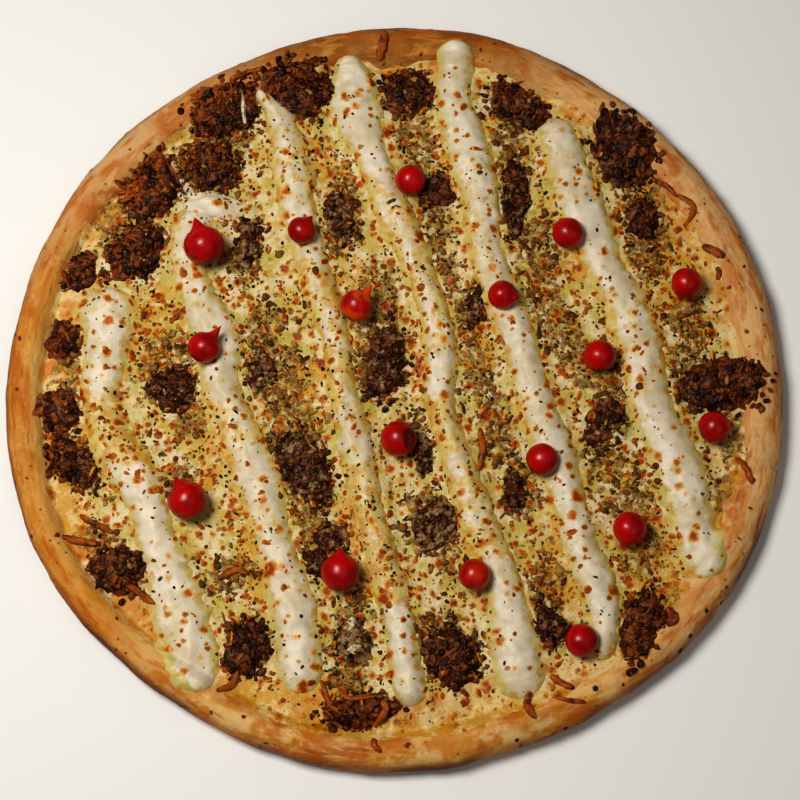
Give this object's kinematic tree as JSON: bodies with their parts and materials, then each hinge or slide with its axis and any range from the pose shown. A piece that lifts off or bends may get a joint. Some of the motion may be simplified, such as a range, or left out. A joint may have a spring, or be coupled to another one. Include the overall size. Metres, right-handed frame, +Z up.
{
  "type": "shredded beef pizza",
  "caption": "Round baked pizza with a raised golden crust, melted mozzarella, piped cream cheese stripes, shredded beef heaps and small red beak peppers.",
  "frame": {"origin": "middle of the flat underside of the crust, where it rests", "axes": "+Z up out of the topped side; +Y towards the side where the cream stripes start; +X to the right of it seen from above"},
  "size_m": [0.3514, 0.3494, 0.0299],
  "materials": {
    "crust": "matte golden baked dough, floury in places",
    "mozzarella": "melted cheese with a soft sheen and browned spots",
    "cream_cheese": "smooth ivory cream cheese, satin, dotted with browned spots",
    "pepper": "glossy deep red skin",
    "beef": "dark brown shredded meat with greasy highlights"
  },
  "bodies": {
    "root": {"crust": "crust", "mozzarella": "mozzarella", "cream_stripe_1": "cream_cheese", "cream_stripe_2": "cream_cheese", "cream_stripe_3": "cream_cheese", "cream_stripe_4": "cream_cheese", "cream_stripe_5": "cream_cheese", "cream_stripe_6": "cream_cheese", "beak_pepper_1": "pepper", "beak_pepper_2": "pepper", "beak_pepper_3": "pepper", "beak_pepper_4": "pepper", "beak_pepper_5": "pepper", "beak_pepper_6": "pepper", "beak_pepper_7": "pepper", "beak_pepper_8": "pepper", "beak_pepper_9": "pepper", "beak_pepper_10": "pepper", "beak_pepper_11": "pepper", "beak_pepper_12": "pepper", "beak_pepper_13": "pepper", "beak_pepper_14": "pepper", "beak_pepper_15": "pepper", "beak_pepper_16": "pepper", "beak_pepper_17": "pepper", "beef_heap_1": "beef", "beef_heap_2": "beef", "beef_heap_3": "beef", "beef_heap_4": "beef", "beef_heap_5": "beef", "beef_heap_6": "beef", "beef_heap_7": "beef", "beef_heap_8": "beef", "beef_heap_9": "beef", "beef_heap_10": "beef", "beef_heap_11": "beef", "beef_heap_12": "beef", "beef_heap_13": "beef", "beef_heap_14": "beef", "beef_heap_15": "beef", "beef_heap_16": "beef", "beef_heap_17": "beef", "beef_heap_18": "beef", "beef_heap_19": "beef", "beef_heap_20": "beef", "beef_heap_21": "beef", "beef_heap_22": "beef", "beef_heap_23": "beef", "beef_heap_24": "beef", "beef_heap_25": "beef", "beef_heap_26": "beef", "beef_heap_27": "beef", "beef_heap_28": "beef", "beef_heap_29": "beef", "beef_heap_30": "beef", "beef_heap_31": "beef", "beef_heap_32": "beef", "beef_heap_33": "beef", "beef_heap_34": "beef", "beef_heap_35": "beef"}
  },
  "joints": []
}
